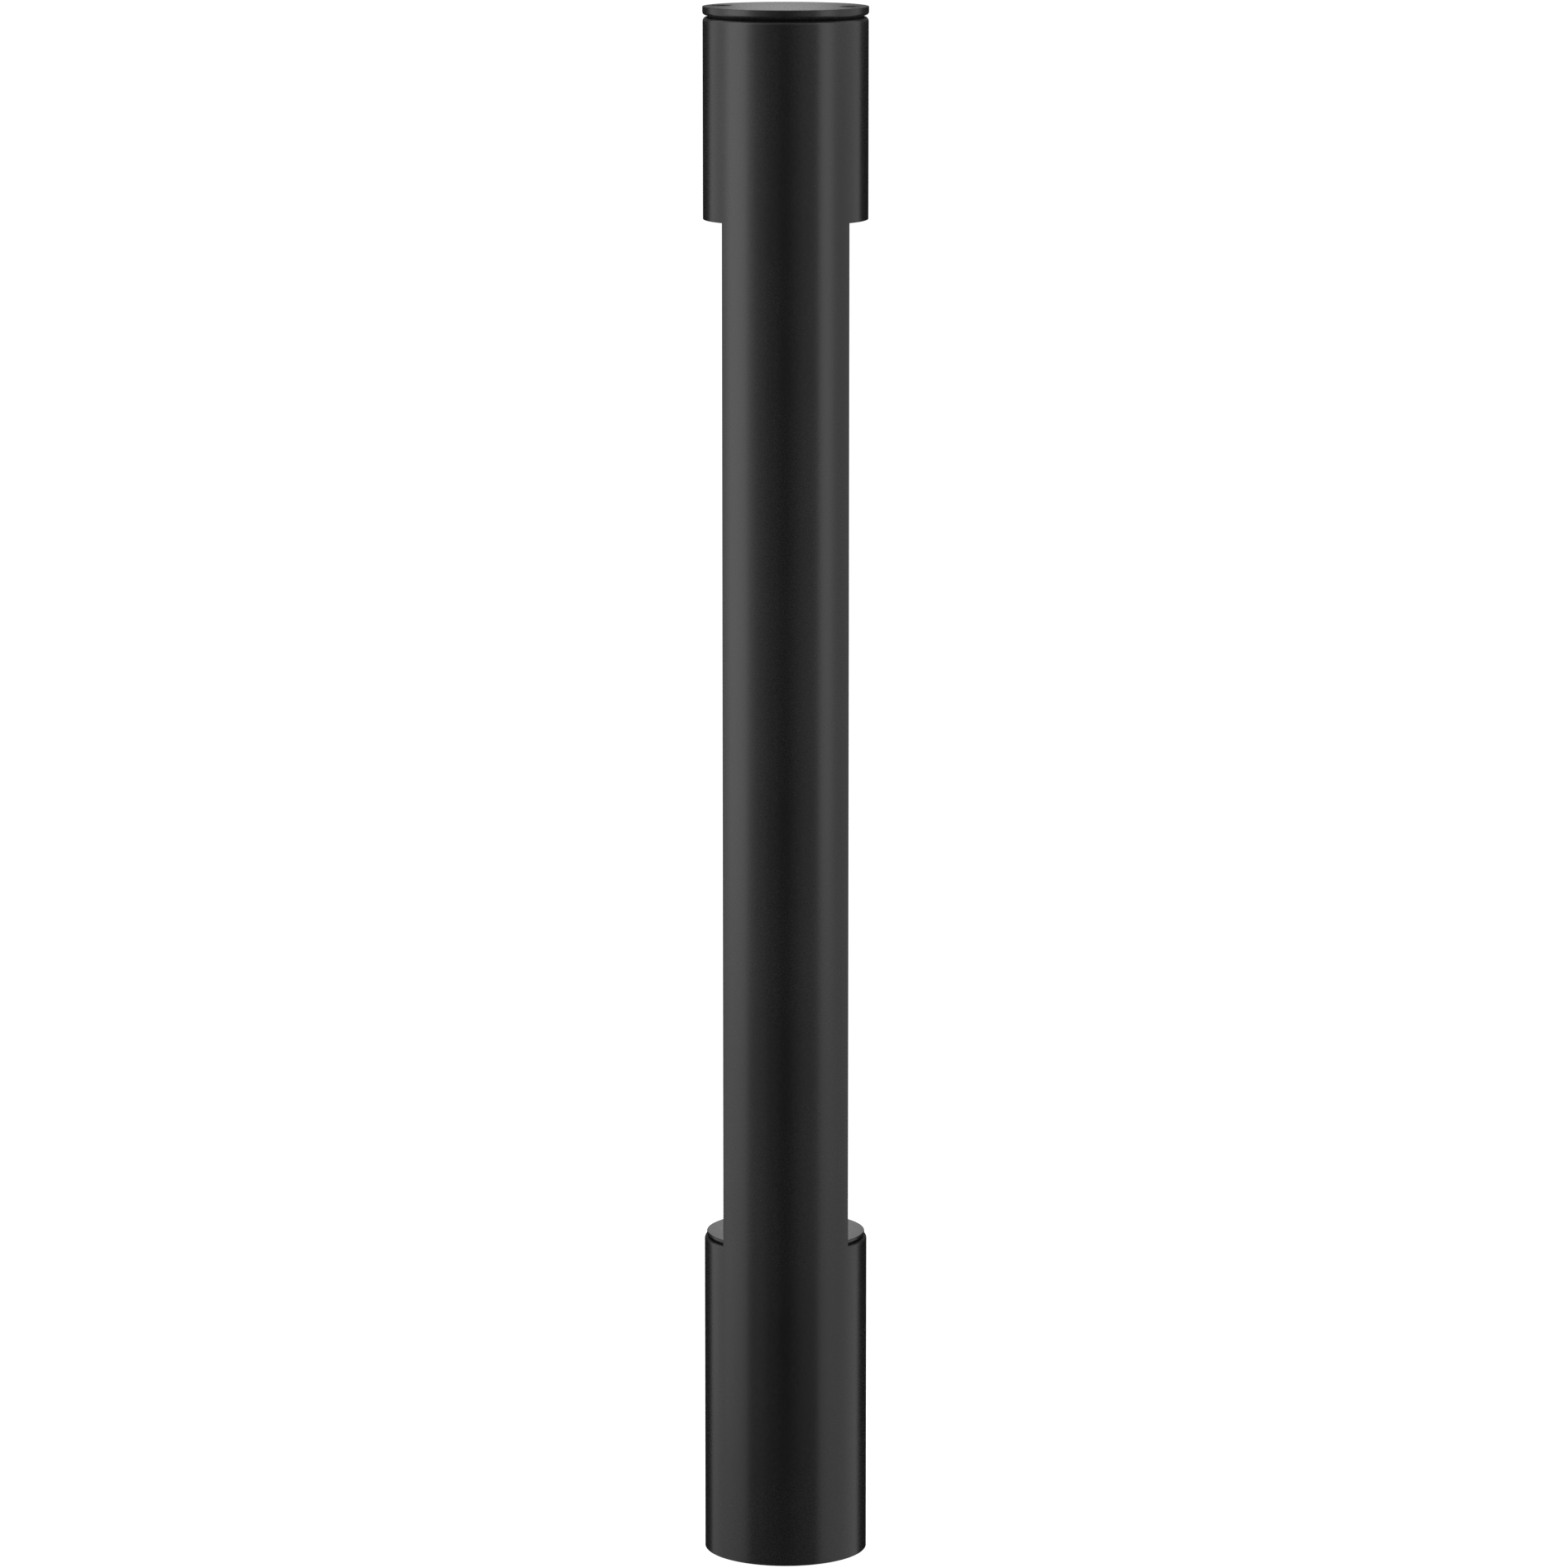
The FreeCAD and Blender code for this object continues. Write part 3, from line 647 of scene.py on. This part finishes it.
def powder_black():
    """Satin black powder coat: a fine grain over a faint orange peel, with slow drifts in tone."""
    m = Nodes("powder_black")
    grain = m.noise(1100, 4.0, 0.65)
    peel = m.noise(450, 1.0, 0.4)
    drift = m.noise(9, 3.0, 0.5)
    m.wire(m.ramp(m.mix(grain, drift, 0.2), [(0.35, grey(0.0035)), (0.65, grey(0.0105))]), "Base Color")
    m.wire(m.span(m.mix(drift, grain, 0.6), 0.21, 0.30), "Roughness")
    m.wire(m.bump(grain, 0.012 * MM, 0.7, m.bump(peel, 0.02 * MM, 0.6)), "Normal")
    m.put(specular_ior_level=0.5)
    return m.material


def cast_aluminium():
    m = Nodes("cast_aluminium")
    sand = m.noise(1500, 4.0, 0.65)
    cloud = m.noise(30, 3.0, 0.5)
    m.wire(m.ramp(cloud, [(0.3, grey(0.40)), (0.75, grey(0.52))]), "Base Color")
    m.wire(m.span(sand, 0.38, 0.62), "Roughness")
    m.wire(m.bump(sand, 0.05 * MM, 0.8), "Normal")
    m.put(metallic=1.0)
    return m.material


def drawn_steel(name, tone, rough, across=60, along=3000):
    """Turned or drawn steel with fine lines along one axis and faint smears."""
    m = Nodes(name)
    lines = m.noise(1.0, 2.0, 0.6, m.stretch(across, across, along))
    smear = m.noise(120, 3.0, 0.6)
    m.wire(m.ramp(smear, [(0.3, grey(tone * 0.85)), (0.7, grey(tone))]), "Base Color")
    m.wire(m.span(m.mix(lines, smear, 0.4), rough * 0.8, rough * 1.25), "Roughness")
    m.wire(m.bump(lines, 0.01 * MM, 0.5), "Normal")
    m.put(metallic=1.0)
    return m.material


def black_oxide():
    """Blackened stainless screws: dark, half glossy, with lighter worn grains."""
    m = Nodes("black_oxide")
    wear = m.noise(900, 4.0, 0.7)
    m.wire(m.ramp(wear, [(0.45, grey(0.018)), (0.8, grey(0.06))]), "Base Color")
    m.wire(m.span(wear, 0.26, 0.42), "Roughness")
    m.wire(m.bump(wear, 0.01 * MM, 0.5), "Normal")
    m.put(metallic=0.6)
    return m.material


def zinc_plate():
    """Zinc plated sheet with faint spangle."""
    m = Nodes("zinc_plate")
    spangle = m.cells(160)
    fine = m.noise(1200, 3.0, 0.6)
    tones = [(0.2, (0.44, 0.46, 0.49)), (0.8, (0.62, 0.64, 0.66))]
    m.wire(m.ramp(m.mix(spangle, fine, 0.4), tones), "Base Color")
    m.wire(m.span(m.mix(spangle, fine, 0.5), 0.28, 0.45, 0.2, 0.8), "Roughness")
    m.wire(m.bump(fine, 0.01 * MM, 0.5), "Normal")
    m.put(metallic=1.0)
    return m.material


def moulded(name, dark, light, rough, grain=1400, height=0.02, tint=0.0, gloss=0.5):
    """Moulded plastic or rubber: a fine mould texture and a little unevenness in tone."""
    m = Nodes(name)
    texture = m.noise(grain, 3.0, 0.6)
    cloud = m.noise(40, 2.0, 0.5)
    tones = [(0.3, grey(dark, tint)), (0.7, grey(light, tint))]
    m.wire(m.ramp(m.mix(cloud, texture, 0.35), tones), "Base Color")
    m.wire(m.span(texture, rough * 0.88, rough * 1.12), "Roughness")
    m.wire(m.bump(texture, height * MM, 0.7), "Normal")
    m.put(specular_ior_level=gloss)
    return m.material


def brass():
    m = Nodes("brass")
    lines = m.noise(1.0, 2.0, 0.6, m.stretch(2500, 80, 2500))
    m.wire(m.ramp(lines, [(0.3, (0.52, 0.36, 0.14)), (0.7, (0.68, 0.50, 0.22))]), "Base Color")
    m.wire(m.span(lines, 0.22, 0.36), "Roughness")
    m.wire(m.bump(lines, 0.01 * MM, 0.4), "Normal")
    m.put(metallic=1.0)
    return m.material


def lamp_glass():
    """Clear toughened glass with a trace of dust."""
    m = Nodes("lamp_glass")
    dust = m.noise(700, 4.0, 0.7)
    m.wire(m.ramp(dust, [(0.4, (0.93, 0.96, 0.95)), (0.8, (0.88, 0.91, 0.90))]), "Base Color")
    m.wire(m.span(dust, 0.01, 0.09, 0.45, 0.8), "Roughness")
    m.put(transmission_weight=1.0, ior=1.5)
    return m.material


def bright_reflector():
    """Bright anodised reflector with fine spinning rings."""
    m = Nodes("bright_reflector")
    rings = m.noise(1.0, 2.0, 0.5, m.stretch(10, 10, 5200))
    m.wire(m.ramp(rings, [(0.3, grey(0.80)), (0.7, grey(0.90))]), "Base Color")
    m.wire(m.span(rings, 0.10, 0.20), "Roughness")
    m.wire(m.bump(rings, 0.01 * MM, 0.4), "Normal")
    m.put(metallic=1.0)
    return m.material


def led_board():
    """White solder mask with faint tracks showing through."""
    m = Nodes("led_board")
    tracks = m.cells(330, "DISTANCE_TO_EDGE")
    mask = m.noise(1800, 2.0, 0.5)
    m.wire(m.ramp(tracks, [(0.02, (0.62, 0.63, 0.60)), (0.12, (0.80, 0.80, 0.77))]), "Base Color")
    m.wire(m.span(mask, 0.28, 0.4), "Roughness")
    m.wire(m.bump(tracks, 0.02 * MM, 0.4), "Normal")
    return m.material


def led_phosphor():
    """Yellow phosphor under clear resin."""
    m = Nodes("led_phosphor")
    grain = m.noise(5200, 3.0, 0.7)
    m.wire(m.ramp(grain, [(0.3, (0.70, 0.48, 0.06)), (0.7, (0.86, 0.66, 0.12))]), "Base Color")
    m.wire(m.span(grain, 0.3, 0.5), "Roughness")
    m.wire(m.bump(grain, 0.01 * MM, 0.4), "Normal")
    m.put(coat_weight=0.8, coat_roughness=0.08)
    return m.material


MATERIALS = {
    "black_powder": powder_black(),
    "cast_aluminium": cast_aluminium(),
    "stainless": drawn_steel("stainless_turned", 0.55, 0.26),
    "stainless_black": black_oxide(),
    "zinc_steel": zinc_plate(),
    "gasket_rubber": moulded("gasket_rubber", 0.004, 0.008, 0.8, 1800, 0.03, gloss=0.2),
    "duct_plastic": moulded("duct_plastic", 0.03, 0.045, 0.55),
    "lead_sheath": moulded("lead_sheath", 0.018, 0.03, 0.6, 900, 0.03),
    "box_plastic": moulded("box_plastic", 0.42, 0.48, 0.48, 1300, 0.02, -0.01),
    "terminal_plastic": moulded("terminal_plastic", 0.62, 0.70, 0.42, 1500, 0.01, 0.03),
    "gland_plastic": moulded("gland_plastic", 0.03, 0.05, 0.45),
    "terminal_brass": brass(),
    "lamp_glass": lamp_glass(),
    "bright_aluminium": bright_reflector(),
    "board_white": led_board(),
    "led_phosphor": led_phosphor(),
    "driver_case": moulded("driver_case", 0.68, 0.76, 0.45, 1400, 0.02),
}


def dress(piece, slot_name):
    piece.data.materials.clear()
    piece.data.materials.append(MATERIALS[slot_name])


def dress_cad_nodes():
    """Every CAD node takes the procedural material of its slot."""
    for entry in frame["record"]["subparts"]:
        dress(frame["nodes"][entry["node"]], entry["material_slot"])


def install(piece, body, slot_name, *nodes):
    """Dress a new piece, hang it on its body and let it stand for its CAD nodes."""
    dress(piece, slot_name)
    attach(piece, body)
    if nodes:
        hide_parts(*nodes)
    return piece


# ---------------------------------------------------------------- the object
dress_cad_nodes()
install(post_tube(), "post", "black_powder", "post_tube")
install(grub_screws(), "post", "stainless", "grub_screws")
lid = install(top_lid(), "lid", "black_powder", "top_lid")
disc = install(base_disc(), "post", "black_powder", "base_disc")
cover, tongues = duct_cover()
install(cover, "post", "black_powder", "duct_cover")
for tongue in tongues:
    install(tongue, "post", "black_powder")
soffit = install(soffit_ring(), "post", "black_powder", "soffit_ring")

lid_places = [(x, y, LID_HIGH - LID_SCREW_SINK) for x, y in LID_SCREWS]
disc_places = [(x, y, DISC_HIGH) for x, y in DISC_SCREWS]
cover_places = [(x, COVER_BACK_Y, z) for x, z in COVER_SCREWS]
soffit_places = [(x, y, SOFFIT_LOW) for x, y in SOFFIT_SCREWS]
lid_screws = screws("lid_screws_body", lid_places, (0, 0, -1), 0.003, 0.0215)
disc_screws = screws("base_disc_screws_body", disc_places, (0, 0, -1), 0.002, 0.0175)
cover_screws = screws("duct_cover_screws_body", cover_places, (0, -1, 0), 0.0015, 0.0068)
soffit_screws = screws("soffit_screws_body", soffit_places, (0, 0, 1), 0.002, 0.0215)
install(lid_screws, "lid", "stainless_black", "lid_screws")
install(disc_screws, "post", "stainless_black", "base_disc_screws")
install(cover_screws, "post", "stainless_black", "duct_cover_screws")
install(soffit_screws, "post", "stainless_black", "soffit_screws")

lamp_nodes = ("cover_glass", "glass_gasket", "reflector", "led_board", "led_chips")
window_pieces = [cover, soffit, cover_screws, soffit_screws] + tongues
window_pieces += [frame["nodes"][node] for node in lamp_nodes]
flat_pieces = [lid, lid_screws, disc, disc_screws]


# ---------------------------------------------------------------- stage, light and camera
def studio_white(name, strength):
    material = bpy.data.materials.new(name)
    material.use_nodes = True
    tree = material.node_tree
    shader = tree.nodes["Principled BSDF"]
    shader.inputs["Base Color"].default_value = (0.85, 0.85, 0.85, 1)
    shader.inputs["Roughness"].default_value = 0.9
    shader.inputs["Specular IOR Level"].default_value = 0.0
    shader.inputs["Emission Color"].default_value = (1, 1, 1, 1)
    shader.inputs["Emission Strength"].default_value = strength
    return material


def stage_objects():
    """A pale floor, and a far white dome that only the camera sees."""
    bm = bmesh.new()
    bmesh.ops.create_circle(bm, cap_ends=True, segments=96, radius=FLOOR_R)
    floor = link("studio_floor", mesh_from(bm, "studio_floor"))
    floor.data.materials.append(studio_white("studio_floor", 1.0))
    floor.visible_glossy = False
    floor.visible_shadow = False
    bm = bmesh.new()
    bmesh.ops.create_uvsphere(bm, u_segments=48, v_segments=24, radius=DOME_R)
    dome = link("studio_dome", mesh_from(bm, "studio_dome"))
    dome.data.materials.append(studio_white("studio_dome", 1.1))
    dome.visible_glossy = False
    dome.visible_diffuse = False
    dome.visible_shadow = False


def panel(name, start, end, bottom, top, radiance):
    """An upright soft light that fills the directions from start to end, seen from the post."""
    data = bpy.data.lights.new(name, "AREA")
    data.shape = "RECTANGLE"
    data.size = 2 * PANEL_DISTANCE * math.tan(math.radians(end - start) / 2)
    data.size_y = top - bottom
    data.energy = math.pi * radiance * data.size * data.size_y
    lamp = link(name, data)
    turn = math.radians((start + end) / 2)
    way = Vector((math.sin(turn), -math.cos(turn), 0))
    lamp.location = way * PANEL_DISTANCE + Vector((0, 0, (bottom + top) / 2))
    lamp.rotation_euler = (-way).to_track_quat("-Z", "Y").to_euler()
    lamp.visible_camera = False
    return lamp


def ceiling():
    """A level soft light overhead."""
    data = bpy.data.lights.new("ceiling", "AREA")
    data.size = CEILING_SIZE
    data.energy = math.pi * CEILING_RADIANCE * CEILING_SIZE**2
    lamp = link("ceiling", data)
    lamp.location = (0, 0, CEILING_HEIGHT)
    lamp.visible_camera = False
    return lamp


def keep_light_to(lamp, pieces):
    """Let a lamp light only these pieces."""
    lit = bpy.data.collections.new(lamp.name + "_lights")
    for piece in pieces:
        lit.objects.link(piece)
    lamp.light_linking.receiver_collection = lit


def world_light(top, horizon, under):
    """A dim grey surround: brighter overhead, dark below the horizon."""
    world = bpy.data.worlds.new("studio")
    bpy.context.scene.world = world
    world.use_nodes = True
    tree = world.node_tree
    place = tree.nodes.new("ShaderNodeTexCoord")
    split = tree.nodes.new("ShaderNodeSeparateXYZ")
    ramp = tree.nodes.new("ShaderNodeValToRGB")
    shift = tree.nodes.new("ShaderNodeMapRange")
    shift.inputs["From Min"].default_value = -1.0
    tree.links.new(place.outputs["Generated"], split.inputs["Vector"])
    tree.links.new(split.outputs["Z"], shift.inputs["Value"])
    tree.links.new(shift.outputs["Result"], ramp.inputs["Fac"])
    stops = ((0.0, under), (0.49, under), (0.52, horizon), (0.75, top))
    for i, (position, value) in enumerate(stops):
        stop = ramp.color_ramp.elements[i] if i < 2 else ramp.color_ramp.elements.new(position)
        stop.position = position
        stop.color = (value, value, value, 1)
    tree.links.new(ramp.outputs["Color"], tree.nodes["Background"].inputs["Color"])


def camera():
    data = bpy.data.cameras.new("camera")
    data.sensor_width = 36.0
    data.lens = CAMERA_LENS
    data.clip_end = 200.0
    piece = link("camera", data)
    piece.location = (CAMERA_SIDE, -CAMERA_DISTANCE, CAMERA_HEIGHT)
    piece.rotation_euler = (math.pi / 2 - CAMERA_TILT, 0, 0)
    bpy.context.scene.camera = piece


stage_objects()
world_light(top=0.12, horizon=0.12, under=0.01)
for name, setting in PANELS.items():
    panel(name, *setting)
for name, setting in WINDOW_PANELS.items():
    keep_light_to(panel(name, *setting), window_pieces)
keep_light_to(ceiling(), flat_pieces)
camera()
bpy.context.scene.view_settings.view_transform = "Standard"
